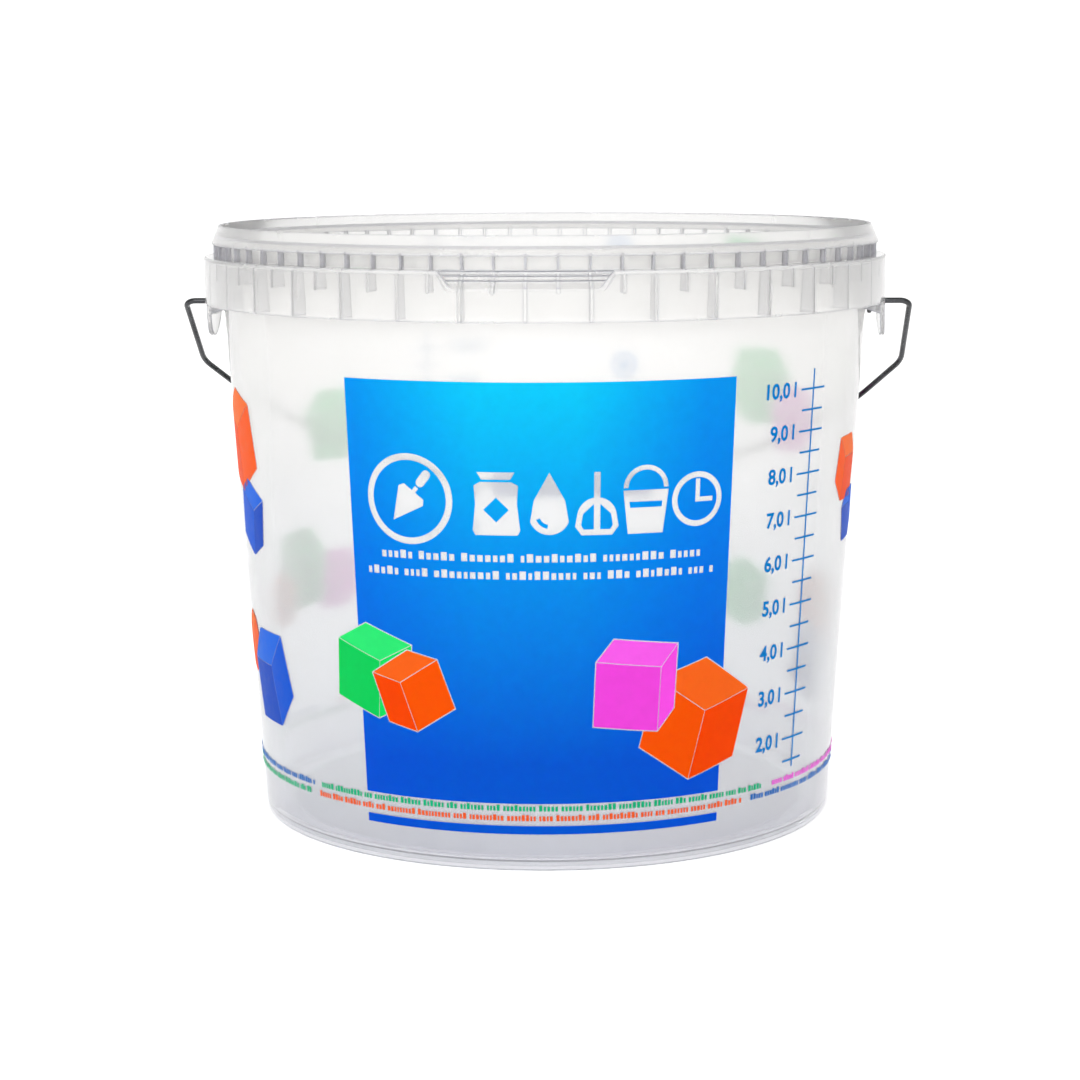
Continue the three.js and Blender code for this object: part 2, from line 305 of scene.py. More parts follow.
def notch_outline(margin):
    """The notch from the front: level floor, S-curved ends, open above the shelf."""
    top = COLLAR_TOP + 2
    bottom = COLLAR_TOP - NOTCH_DEPTH - margin
    wide = NOTCH_HALF_WIDTH + margin
    narrow = NOTCH_FLOOR_HALF_WIDTH + margin
    right = s_curve(narrow, bottom, wide, COLLAR_TOP)
    left = [(-x, z) for x, z in reversed(right)]
    return [*right, (wide, top), (-wide, top), *left]


def above_slope(bm, drop, ridges):
    """The ring above and outside the notch's slope. Ridges leave small steps on the slope."""
    slope = NOTCH_DEPTH / (SKIRT_RADIUS - NOTCH_TOP_RADIUS)
    reach = SKIRT_RADIUS + 2 - NOTCH_TOP_RADIUS
    top = COLLAR_TOP + 3
    run = lambda r, lift=0: (r, COLLAR_TOP - drop - (r - NOTCH_TOP_RADIUS) * slope + lift)
    face = [run(NOTCH_TOP_RADIUS)]
    for r in (NOTCH_TOP_RADIUS + 0.5, NOTCH_TOP_RADIUS + 1.9, NOTCH_TOP_RADIUS + 3.3) if ridges else ():
        face += [run(r), run(r + 0.05, 0.55), run(r + 0.45, 0.62), run(r + 0.6)]
    face.append(run(NOTCH_TOP_RADIUS + reach))
    lathe(bm, [*face, (NOTCH_TOP_RADIUS + reach, top), (NOTCH_TOP_RADIUS, top)])


def notch_bar(margin):
    bm = bmesh.new()
    extruded(bm, notch_outline(margin), 100, SKIRT_RADIUS + 4, lambda u, v, d: Vector((u, -d, v)))
    return object_of("notch_bar", bm)


def ring(name, outline):
    bm = bmesh.new()
    lathe(bm, outline)
    return object_of(name, bm)


def rib_set():
    """All collar and neck ribs, as separate closed plates in one mesh."""
    bm = bmesh.new()
    for i in range(360 // RIB_PITCH):
        azimuth = i * RIB_PITCH
        if abs(abs(azimuth - 180) - 90) > RIB_PITCH:
            bottom = LONG_RIB_BOTTOM if azimuth % (2 * RIB_PITCH) == 0 else SHORT_RIB_BOTTOM
            rib(bm, azimuth, 139.4, SKIRT_RADIUS - SKIRT / 2, bottom, COLLAR_TOP - SKIRT / 2)
        rib(bm, azimuth, 140.5, 143.7, COLLAR_TOP - 0.5, BEAD_BOTTOM + 0.6, 0.9)
    return object_of("ribs", bm)


def shield_outline(grow=0.0, steps=40):
    """The ear's lug from the side: straight above the skirt's edge, a half ellipse below it."""
    points = []
    for i in range(steps + 1):
        a = math.pi * i / steps
        points.append(
            (-(EAR_HALF_WIDTH + grow) * math.cos(a), COLLAR_BOTTOM - (LUG_DROP + grow) * math.sin(a))
        )
    return [*points, (EAR_HALF_WIDTH + grow, COLLAR_BOTTOM + 1.5), (-EAR_HALF_WIDTH - grow, COLLAR_BOTTOM + 1.5)]


def ear(side):
    """A lug that thins towards its tip, with a boss round the wire's hole and two gussets."""
    place = lambda u, v, d: Vector((side * d, u, v))
    bm = bmesh.new()
    extruded(bm, shield_outline(), 120, 160, place)
    lug = object_of("lug", bm)
    back = 1.9
    tip_z = COLLAR_BOTTOM - LUG_DROP - 1
    plate = ring(
        "lug_plate",
        rounded(
            [
                (SKIRT_RADIUS - 1.9, tip_z, 0),
                (SKIRT_RADIUS - 0.25, tip_z, 0),
                (SKIRT_RADIUS, tip_z + 2.5, 0),
                (SKIRT_RADIUS, COLLAR_BOTTOM + 2, 0),
                (SKIRT_RADIUS - back - 0.2, COLLAR_BOTTOM + 2, 0),
            ]
        ),
    )
    combine(lug, plate, "INTERSECT")
    bm = bmesh.new()
    boss = [
        (0, 143.6),
        (BOSS_RADIUS - 1.2, 143.6),
        (BOSS_RADIUS - 0.5, 143.9),
        (BOSS_RADIUS, 144.6),
        (BOSS_RADIUS + 0.3, 145.8),
        (BOSS_RADIUS + 0.9, 146.5),
        (0, 146.6),
    ]
    lathe(bm, boss, 48)
    for v in bm.verts:
        x, y, z = v.co
        v.co = Vector((side * z, x, PIVOT_Z + y))
    combine(lug, object_of("boss", bm), "UNION")
    bm = bmesh.new()
    for offset in (-5, 5):
        turn = Matrix.Rotation(math.radians(offset + (0 if side > 0 else 180)), 3, "Z")
        outline = [
            (139.0, 241.8),
            (139.0, 219.2),
            (141.5, 218.4),
            (SKIRT_RADIUS - 0.8, 216.6),
            (SKIRT_RADIUS - 0.8, 241.8),
        ]
        extruded(bm, outline, -0.5, 0.5, lambda u, v, d: turn @ Vector((u, d, v)))
    combine(lug, object_of("gussets", bm), "UNION")
    return lug


def hole(side):
    bm = bmesh.new()
    outline = [(0, 141.4), (HOLE_RADIUS, 141.4), (HOLE_RADIUS, 147.3), (HOLE_RADIUS + 1.0, 148.6), (0, 148.6)]
    lathe(bm, outline, 48)
    for v in bm.verts:
        x, y, z = v.co
        v.co = Vector((side * z, x, PIVOT_Z + y))
    return object_of("hole", bm)


def make_tub():
    tub = ring("tub_moulding", tub_outline())
    combine(tub, rib_set(), "UNION")
    bm = bmesh.new()
    above_slope(bm, 2.8, False)
    shell = combine(object_of("slope", bm), notch_bar(SKIRT), "INTERSECT")
    near = NOTCH_TOP_RADIUS - SKIRT
    limits = [
        (near, COLLAR_BOTTOM),
        (SKIRT_RADIUS - 0.05, COLLAR_BOTTOM),
        (SKIRT_RADIUS - 0.05, COLLAR_TOP - 0.3),
        (near, COLLAR_TOP - 0.3),
    ]
    combine(shell, ring("limits", limits), "INTERSECT")
    combine(tub, shell, "UNION")
    bm = bmesh.new()
    above_slope(bm, 0, True)
    cut = combine(object_of("slope", bm), notch_bar(0), "INTERSECT")
    combine(tub, cut, "DIFFERENCE")
    for side in (-1, 1):
        combine(tub, ear(side), "UNION")
        combine(tub, hole(side), "DIFFERENCE")
    smooth(tub)
    true_round(tub, EAR_ZONE * MM)
    return tub


# ---------------------------------------------------------------- bail and grip


def half_bail_corners():
    on_bow = lambda a: (
        BOW_RADIUS * math.sin(math.radians(a)),
        BOW_CENTRE + BOW_RADIUS * math.cos(math.radians(a)),
    )
    start, end = on_bow(BOW_FROM), on_bow(BOW_TO)
    run = (SHOULDER_X - end[0]) / math.cos(math.radians(BOW_TO))
    corners = [
        (0, BAIL_REACH, 0),
        (SEAT_X, BAIL_REACH, SEAT_BEND),
        (
            start[0] - BOW_LEAD * math.cos(math.radians(BOW_FROM)),
            start[1] + BOW_LEAD * math.sin(math.radians(BOW_FROM)),
            BOW_START_BEND,
        ),
    ]
    for i in range(BOW_STEPS + 1):
        corners.append((*on_bow(BOW_FROM + (BOW_TO - BOW_FROM) * i / BOW_STEPS), 0))
    corners += [
        (SHOULDER_X, end[1] - run * math.sin(math.radians(BOW_TO)), BOW_END_BEND),
        (SHOULDER_X, 0, SHOULDER_BEND),
        (FOOT_X, 0, HOOK_BEND),
        (FOOT_X, FOOT_LENGTH, 0),
    ]
    return corners


def with_bends(corners):
    points = []
    for i, (x, y, radius) in enumerate(corners):
        corner = Vector((x, y))
        if radius == 0:
            points.append(corner)
            continue
        before = (Vector(corners[i - 1][:2]) - corner).normalized()
        after = (Vector(corners[i + 1][:2]) - corner).normalized()
        half = before.angle(after) / 2
        centre = corner + (before + after).normalized() * (radius / math.sin(half))
        start = corner + before * (radius / math.tan(half)) - centre
        end = corner + after * (radius / math.tan(half)) - centre
        turn = start.angle_signed(end)
        for step in range(BEND_STEPS + 1):
            points.append(centre + Matrix.Rotation(-turn * step / BEND_STEPS, 2) @ start)
    return points


def in_bail_plane(x, s, up=0.0):
    """A point of the bail, hanging at rest: s from the pivot axis, up off the bail's plane."""
    a = math.radians(HANG_ANGLE)
    return Vector(
        (x, s * math.cos(a) + up * math.sin(a), PIVOT_Z - s * math.sin(a) + up * math.cos(a))
    )


def make_wire():
    half = with_bends(half_bail_corners())
    line = [Vector((-p.x, p.y)) for p in reversed(half[1:])] + half
    bm = bmesh.new()
    rings = []
    last = len(line) - 1
    ends = {0: 0.82, last: 0.82}
    for i, p in enumerate(line):
        along = (line[min(i + 1, last)] - line[max(i - 1, 0)]).normalized()
        side = Vector((-along.y, along.x))
        radius = WIRE_RADIUS * ends.get(i, 1)
        made = []
        for k in range(WIRE_SIDES):
            a = 2 * math.pi * k / WIRE_SIDES
            flat = p + side * (radius * math.cos(a))
            made.append(bm.verts.new(in_bail_plane(flat.x, flat.y, radius * math.sin(a))))
        rings.append(made)
    for ring_a, ring_b in zip(rings, rings[1:]):
        for k in range(WIRE_SIDES):
            m = (k + 1) % WIRE_SIDES
            bm.faces.new((ring_a[k], ring_a[m], ring_b[m], ring_b[k]))
    bm.faces.new(rings[0])
    bm.faces.new(rings[-1])
    return smooth(object_of("bail_wire_drawn", bm), 50)


def make_grip():
    corners = [
        (GRIP_BORE_RADIUS, -GRIP_HALF_LENGTH, 0.3),
        (GRIP_RADIUS, -GRIP_HALF_LENGTH, GRIP_ROUND),
        (GRIP_RADIUS, GRIP_HALF_LENGTH, GRIP_ROUND),
        (GRIP_BORE_RADIUS, GRIP_HALF_LENGTH, 0.3),
    ]
    bm = bmesh.new()
    lathe(bm, rounded(corners), 48)
    for v in bm.verts:
        x, y, z = v.co
        v.co = in_bail_plane(GRIP_OFFSET + z, BAIL_REACH + x, y)
    return smooth(object_of("grip_moulded", bm), 40)


# ---------------------------------------------------------------- print


def flat_prism(loops, depth=(0.0, INK)):
    """A closed plate in the print's own plane: x along the wall, y up, z off the wall."""
    curve = bpy.data.curves.new("outline", "CURVE")
    curve.dimensions = "2D"
    curve.fill_mode = "BOTH"
    for loop in loops:
        spline = curve.splines.new("POLY")
        spline.points.add(len(loop) - 1)
        for point, (x, y) in zip(spline.points, loop):
            point.co = (x, y, 0, 1)
        spline.use_cyclic_u = True
    return plate_of_curve(curve, depth)


def plate_of_curve(curve, depth=(0.0, INK)):
    """The filled faces of a 2-D curve as a bmesh plate of the given depth."""
    holder = link("outline", curve)
    bpy.context.view_layer.update()
    graph = bpy.context.evaluated_depsgraph_get()
    mesh = bpy.data.meshes.new_from_object(holder.evaluated_get(graph))
    bpy.data.objects.remove(holder)
    bpy.data.curves.remove(curve)
    bm = bmesh.new()
    bm.from_mesh(mesh)
    bpy.data.meshes.remove(mesh)
    bmesh.ops.remove_doubles(bm, verts=bm.verts, dist=1e-4)
    loose = [e for e in bm.edges if not e.link_faces]
    bmesh.ops.delete(bm, geom=loose, context="EDGES")
    for v in bm.verts:
        v.co.z = depth[0]
    made = bmesh.ops.extrude_face_region(bm, geom=bm.faces[:], use_keep_orig=True)
    for v in made["geom"]:
        if isinstance(v, bmesh.types.BMVert):
            v.co.z = depth[1]
    return bm


def add_to(bm, other):
    mesh = bpy.data.meshes.new("part")
    other.to_mesh(mesh)
    other.free()
    bm.from_mesh(mesh)
    bpy.data.meshes.remove(mesh)


def flat_object(name, bm):
    bmesh.ops.recalc_face_normals(bm, faces=bm.faces)
    mesh = bpy.data.meshes.new(name)
    bm.to_mesh(mesh)
    bm.free()
    return link(name, mesh)


def wrapped(obj, lift=INK_GAP):
    """Cuts a flat plate at every facet of the wall and bends it round the tub."""
    bm = bmesh.new()
    bm.from_mesh(obj.data)
    step = PRINT_STEP * MM_PER_DEGREE
    low = min(v.co.x for v in bm.verts)
    high = max(v.co.x for v in bm.verts)
    for i in range(math.ceil(low / step), math.floor(high / step) + 1):
        bmesh.ops.bisect_plane(
            bm, geom=bm.verts[:] + bm.edges[:] + bm.faces[:], dist=1e-5, plane_co=(i * step, 0, 0), plane_no=(1, 0, 0)
        )
    bmesh.ops.triangulate(bm, faces=[f for f in bm.faces if len(f.verts) > 4])
    for v in bm.verts:
        x, z, depth = v.co
        azimuth = x / MM_PER_DEGREE
        # the wall's facets are flat between the cuts
        within = (azimuth / PRINT_STEP) % 1 * PRINT_STEP - PRINT_STEP / 2
        chord = math.cos(math.radians(PRINT_STEP / 2)) / math.cos(math.radians(within))
        v.co = around(azimuth, (wall_radius(z) + lift + depth) * min(chord, 1.0), z)
    bmesh.ops.recalc_face_normals(bm, faces=bm.faces)
    bmesh.ops.scale(bm, vec=(MM, MM, MM), verts=bm.verts)
    bm.to_mesh(obj.data)
    bm.free()
    return smooth(obj, 30)


def rectangle(x0, y0, x1, y1):
    return [(x0, y0), (x1, y0), (x1, y1), (x0, y1)]


def arc(cx, cy, radius, start, end, steps=10):
    """Points on an arc, angles in degrees, anticlockwise from +x."""
    return [
        (
            cx + radius * math.cos(math.radians(start + (end - start) * i / steps)),
            cy + radius * math.sin(math.radians(start + (end - start) * i / steps)),
        )
        for i in range(steps + 1)
    ]


def pill(x0, x1, y, half):
    """A dash with round ends."""
    return arc(x1 - half, y, half, -90, 90, 6) + arc(x0 + half, y, half, 90, 270, 6)


def circle(cx, cy, radius, steps=40):
    return arc(cx, cy, radius, 0, 360 - 360 / steps, steps - 1)


def moved(loop, dx, dy, turn=0.0, size=1.0):
    a = math.radians(turn)
    c, s = math.cos(a) * size, math.sin(a) * size
    return [(dx + x * c - y * s, dy + x * s + y * c) for x, y in loop]


def across(azimuth):
    return azimuth * MM_PER_DEGREE


# Generic signs, each about 26 high and centred on its own middle: a list of loops, even-odd.


def drop_sign():
    body = arc(0, -4.5, 8.2, 200, 340, 18) + [(6.2, 1.5), (3.2, 7.0), (0, 13), (-3.2, 7.0), (-6.2, 1.5)]
    glint = arc(0, -4.5, 5.6, 200, 262, 8) + arc(0, -4.5, 4.0, 262, 200, 8)
    return [body, glint]


def sack_sign():
    body = [(-8.5, -13), (8.5, -13), (9.6, -11), (8.4, 0), (8.9, 7.5), (6.2, 9.0)]
    body += [(-6.2, 9.0), (-8.9, 7.5), (-8.4, 0), (-9.6, -11)]
    neck = [(-5.8, 9.9), (5.8, 9.9), (7.6, 13), (-7.6, 13)]
    mark = moved(rectangle(-3.6, -3.6, 3.6, 3.6), 0, -2.5, 45)
    return [body, mark], [neck]


def whisk_sign():
    shaft = rectangle(-1.3, 2.0, 1.3, 13)
    outer = arc(0, -5.4, 8.0, 0, 180, 14)[1:-1] + [(-8.8, -9.4), (-6.2, -13), (6.2, -13), (8.8, -9.4)]
    hole_left = [(-5.6, -4.2), (-1.3, -0.2), (-1.3, -10.6), (-5.4, -10.6), (-6.4, -8.8)]
    hole_right = [(-x, y) for x, y in reversed(hole_left)]
    return [outer, hole_left, hole_right], [shaft]


def pail_sign():
    body = [(-9.5, 5), (-7.4, -13), (7.4, -13), (9.5, 5)]
    handle = arc(0, 5.9, 9.4, 0, 180, 16) + arc(0, 5.9, 7.4, 180, 0, 16)
    level = [(-6.9, 0.2), (-6.6, -2.2), (6.6, -2.2), (6.9, 0.2)]
    return [body, handle, level]


def clock_sign():
    hands = [(-1, -1.2), (7.0, -1.2), (7.0, 0.8), (1, 0.8), (1, 8.4), (-1, 8.4)]
    return [circle(0, 0, 11.4), circle(0, 0, 9.0)], [hands]


def trowel_sign():
    """A pointing trowel inside a ring."""
    ring_loops = [circle(0, 0, 18.3, 56), circle(0, 0, 15.6, 56)]
    blade = [(0, -12.2), (6.6, 1.0), (5.2, 3.2), (0.9, 3.2), (0.9, 5.4), (-0.9, 5.4)]
    blade += [(-0.9, 3.2), (-5.2, 3.2), (-6.6, 1.0)]
    handle = moved(pill(-4.0, 4.0, 0, 1.9), 0, 10.0, 90)
    return ring_loops, [moved(loop, 0.4, 0.6, -38, 0.98) for loop in (blade, handle)]


def signs():
    """The row of generic signs that the panel leaves clear, as groups of even-odd loops."""
    groups = [
        (across(-20.7), 152, 1.0, trowel_sign()),
        (across(-9.5) + 9.6, 151.2, 0.97, sack_sign()),
        (across(-9.5) + 30.2, 151.2, 0.97, (drop_sign(),)),
        (across(-9.5) + 48.6, 151.2, 0.97, whisk_sign()),
        (across(-9.5) + 68.0, 151.2, 0.97, (pail_sign(),)),
        (across(-9.5) + 89.8, 151.2, 0.97, clock_sign()),
    ]
    made = []
    for x, y, size, loop_groups in groups:
        for loops in loop_groups:
            made.append([moved(loop, x, y, 0, size) for loop in loops])
    return made


def small_print(from_x, to_x, y, half, wide, seed):
    """A row of small upright marks in groups, as a line of small print looks from afar."""
    loops = []
    x, state, left = from_x, seed, 5
    while x < to_x - wide:
        state = (state * 1103515245 + 12345) % 2147483648
        chance = state / 2147483648
        width = wide * (0.6 + 0.5 * chance)
        loops.append(rectangle(x, y - half, x + width, y + half * (1.5 if chance > 0.75 else 1.0)))
        left -= 1
        x += width + 0.42 * wide
        if left == 0:
            left = 3 + int(8 * chance)
            x += 0.8 * wide
    return loops


# Blocks: middle (azimuth, z), half side, turns about the up axis and towards the viewer, roll.


def block_faces(azimuth, z, half, yaw, pitch, roll, stretch=1.0):
    """The seen faces of a block, at most three, in the print's plane."""
    turn = (
        Matrix.Rotation(math.radians(roll), 3, "Z")
        @ Matrix.Rotation(math.radians(pitch), 3, "X")
        @ Matrix.Rotation(math.radians(yaw), 3, "Y")
    )
    corner = lambda i, j, k: turn @ Vector((half * i, half * stretch * j, half * k))
    faces = []
    for axis in range(3):
        for sign in (-1, 1):
            normal = turn @ Vector([sign if a == axis else 0 for a in range(3)])
            if normal.z <= 0.02:
                continue
            others = [a for a in range(3) if a != axis]
            loop = []
            for s, t in ((-1, -1), (1, -1), (1, 1), (-1, 1)):
                place = [0, 0, 0]
                place[axis], place[others[0]], place[others[1]] = sign, s, t
                p = corner(*place)
                loop.append((across(azimuth) + p.x, z + p.y))
            faces.append((axis, loop))
    return faces


def inset(loop, gap):
    """Moves each side of a convex loop inwards."""
    area = sum(a[0] * b[1] - b[0] * a[1] for a, b in zip(loop, loop[1:] + loop[:1]))
    pts = [Vector(p) for p in (loop if area > 0 else loop[::-1])]
    made = []
    for i, p in enumerate(pts):
        back = (p - pts[i - 1]).normalized()
        ahead = (pts[(i + 1) % len(pts)] - p).normalized()
        n1, n2 = Vector((-back.y, back.x)), Vector((-ahead.y, ahead.x))
        bisector = (n1 + n2).normalized()
        made.append(tuple(p + bisector * (gap / max(bisector.dot(n1), 0.3))))
    return made


def hull(points):
    """The convex outline of some points, anticlockwise."""
    points = sorted(set(points))

    def half(ordered):
        chain = []
        for p in ordered:
            while len(chain) > 1:
                (ax, ay), (bx, by) = chain[-2], chain[-1]
                if (bx - ax) * (p[1] - ay) - (by - ay) * (p[0] - ax) > 1e-9:
                    break
                chain.pop()
            chain.append(p)
        return chain[:-1]

    return half(points) + half(points[::-1])


BLOCKS = [
    # name, ink, azimuth, z, half side, yaw, pitch, roll, which blocks lie over it
    ("green_a", "green", -29.6, 80, 13.2, -34, 24, -4, ("orange_a",)),
    ("orange_a", "orange", -21.5, 73.2, 11.4, 30, 22, 20, ()),
    ("magenta_a", "magenta", 18.9, 76.5, 14.2, -14, 20, -2, ()),
    ("orange_b", "orange", 31.0, 60.5, 16.4, 52, 28, -14, ("magenta_a",)),
    ("orange_c", "orange", -70.5, 166, 15.0, 38, 24, 12, ()),
    ("blue_c", "blue", -66.0, 134, 11.0, -30, 24, -10, ()),
    ("orange_d", "orange", -73.0, 77.5, 9.0, 20, 24, 30, ("blue_d",)),
    ("blue_d", "blue", -62.0, 66, 14.6, -36, 26, 18, ()),
    ("orange_e", "orange", 73.8, 154, 10.4, 30, 24, -12, ()),
    ("blue_e", "blue", 78.0, 133, 8.4, -28, 22, 14, ()),
    ("green_f", "green", -128, 158, 12.4, 32, 24, -12, ()),
    ("green_g", "green", -115, 93, 13.6, -30, 26, 10, ("red_g",)),
    ("magenta_g", "magenta", -126.5, 85, 10.6, 24, 22, -8, ("green_g",)),
    ("red_g", "orange", -106, 81, 9.4, 38, 24, 16, ()),
    ("green_h", "green", 134, 175.5, 13.4, -30, 24, 12, ("magenta_h",)),
    ("magenta_h", "magenta", 123.5, 161.5, 11.2, 26, 24, -14, ()),
    ("green_i", "green", 136, 76.5, 11.4, 34, 24, 8, ()),
    ("red_i", "orange", 108.5, 77, 13.6, -34, 24, -16, ("blue_i",)),
    ("blue_i", "blue", 110.5, 52, 12.6, 28, 24, 14, ()),
]

EDGE_GAP = 0.32  # bare line along each edge of a block
BACK = "_back"  # blocks on the far side have an ink that more light passes, its colour lightened towards white as painted backlight


def make_blocks():
    """One plate per face shade of each ink. Returns {(ink, shade): object} and the outlines."""
    outlines, faces = {}, {}
    for name, ink, azimuth, z, half_side, yaw, pitch, roll, _ in BLOCKS:
        seen = block_faces(azimuth, z, half_side, yaw, pitch, roll)
        faces[name] = seen
        outlines[name] = hull([p for _, loop in seen for p in loop])
    groups = {}
    for name, ink, azimuth, *_, over in BLOCKS:
        order = sorted(faces[name], key=lambda f: -sum(y for _, y in f[1]))
        for shade, (_, loop) in enumerate(order):
            plate = flat_prism([inset(loop, EDGE_GAP / 2)])
            if over:
                piece = flat_object("face", plate)
                for other in over:
                    cutter = flat_prism([inset(outlines[other], -EDGE_GAP)], (-1, 1))
                    combine(piece, flat_object("cutter", cutter), "DIFFERENCE")
                plate = bmesh.new()
                plate.from_mesh(piece.data)
                bpy.data.objects.remove(piece)
            colour = ink if abs(azimuth) < 90 else ink + BACK
            groups.setdefault((colour, min(shade, 2)), []).append(plate)
    made = {}
    for key, plates in groups.items():
        bm = bmesh.new()
        for plate in plates:
            add_to(bm, plate)
        made[key] = wrapped(flat_object(f"print_{key[0]}_{key[1]}", bm))
    return made, outlines


def make_roundel():
    """The small round mark on the far side: a ring and a dot."""
    x, z = across(166.5), 182.0
    bm = flat_prism([circle(x, z, 6.4), circle(x, z, 4.6)])
    add_to(bm, flat_prism([circle(x, z, 2.8)]))
    return wrapped(flat_object("print_roundel", bm))


PANEL_FROM, PANEL_TO = -32.3, 36.2
PANEL_BOTTOM, PANEL_TOP = 28.5, 199.2
STRIPE_BOTTOM, STRIPE_TOP = 15.7, 19.2


def make_panel(outlines):
    bm = flat_prism(
        [rectangle(across(PANEL_FROM), PANEL_BOTTOM, across(PANEL_TO), PANEL_TOP)]
    )
    add_to(bm, flat_prism([rectangle(across(PANEL_FROM), STRIPE_BOTTOM, across(PANEL_TO), STRIPE_TOP)]))
    panel = flat_object("print_panel", bm)
    for loops in signs():
        combine(panel, flat_object("sign", flat_prism(loops, (-1, 1))), "DIFFERENCE")
    for from_az, to_az, y, seed in ((-26.3, 31.3, 129.2, 5), (-29.2, 34.1, 122.2, 12)):
        row = bmesh.new()
        for loop in small_print(across(from_az), across(to_az), y, 1.35, 2.3, seed):
            add_to(row, flat_prism([loop], (-1, 1)))
        combine(panel, flat_object("row", row), "DIFFERENCE")
    for name in ("green_a", "orange_a", "magenta_a", "orange_b"):
        cutter = flat_prism([inset(outlines[name], -EDGE_GAP)], (-1, 1))
        combine(panel, flat_object("cutter", cutter), "DIFFERENCE")
    return wrapped(panel)


SCALE_TOP, SCALE_BOTTOM = 199.4, 31.0


def litre_marks():
    """Heights of the half-litre marks, from the inside volume of the tub above its floor."""
    radius = lambda z: wall_radius(z) - WALL
    marks = {}
    volume, z, step = 0.0, 3.74, 0.02
    wanted = [0.5 * i for i in range(3, 21)]
    while wanted:
        volume += math.pi * radius(z + step / 2) ** 2 * step / 1e6
        z += step
        if volume >= wanted[0]:
            marks[wanted.pop(0)] = z
    return marks


def text_plate(text, x, y, size, embolden=0.02):
    curve = bpy.data.curves.new("text", "FONT")
    curve.body = text
    curve.size = size
    curve.align_x = "RIGHT"
    curve.align_y = "CENTER"
    curve.offset = embolden
    curve.resolution_u = 4
    bm = plate_of_curve(curve)
    bmesh.ops.translate(bm, verts=bm.verts, vec=(x, y, 0))
    return bm


def make_scale(name, azimuth):
    """The litre scale: one upright line, a tick every half litre and a number every litre."""
    middle = across(azimuth)
    tilt = lambda z: (199 - z) / 168 * 2.2  # the line leans a little towards its foot
    bm = flat_prism(
        [
            [
                (middle + tilt(SCALE_BOTTOM) - 0.45, SCALE_BOTTOM),
                (middle + tilt(SCALE_BOTTOM) + 0.45, SCALE_BOTTOM),
                (middle + tilt(SCALE_TOP) + 0.45, SCALE_TOP),
                (middle + tilt(SCALE_TOP) - 0.45, SCALE_TOP),
            ]
        ]
    )
    for litres, z in litre_marks().items():
        whole = litres == int(litres)
        reach = 8.5 if whole else 7.4
        x = middle + tilt(z)
        for a, b in ((x - reach, x - 0.45), (x + 0.45, x + reach)):
            add_to(bm, flat_prism([rectangle(a, z - 0.4, b, z + 0.4)]))
        if whole:
            text = f"{litres:.1f} l".replace(".", ",")
            add_to(bm, text_plate(text, x - reach - 3.0, z, 8.6, 0.22))
    return wrapped(flat_object(name, bm))


# Rows of small print round the foot: ink, from and to azimuth, z, half height, seed.
FOOT_ROWS = [
    ("blue", -118, -46.5, 26.4, 1.0, 3),
    ("green", -44.5, 47.5, 26.4, 1.0, 7),
    ("magenta", 50.5, 128, 26.4, 1.0, 11),
    ("orange", 132, 236, 26.4, 1.0, 15),
    ("green", -128, -47.5, 22.3, 1.0, 21),
    ("orange", -45.2, 42.5, 22.3, 1.0, 25),
    ("blue", 44.5, 122, 22.3, 1.0, 29),
    ("magenta", 127, 228, 22.3, 1.0, 33),
]


def make_foot_rows():
    made = {}
    for ink, start, end, z, half_height, seed in FOOT_ROWS:
        bm = made.setdefault(ink, bmesh.new())
        for loop in small_print(across(start), across(end), z, half_height, 1.25, seed):
            add_to(bm, flat_prism([loop]))
    return {ink: wrapped(flat_object(f"print_rows_{ink}", bm)) for ink, bm in made.items()}


# ---------------------------------------------------------------- materials


def srgb(r, g, b):
    """Linear colour of an 8-bit sRGB one."""
    return tuple(((c / 255) / 12.92 if c <= 10 else (((c / 255) + 0.055) / 1.055) ** 2.4) for c in (r, g, b))


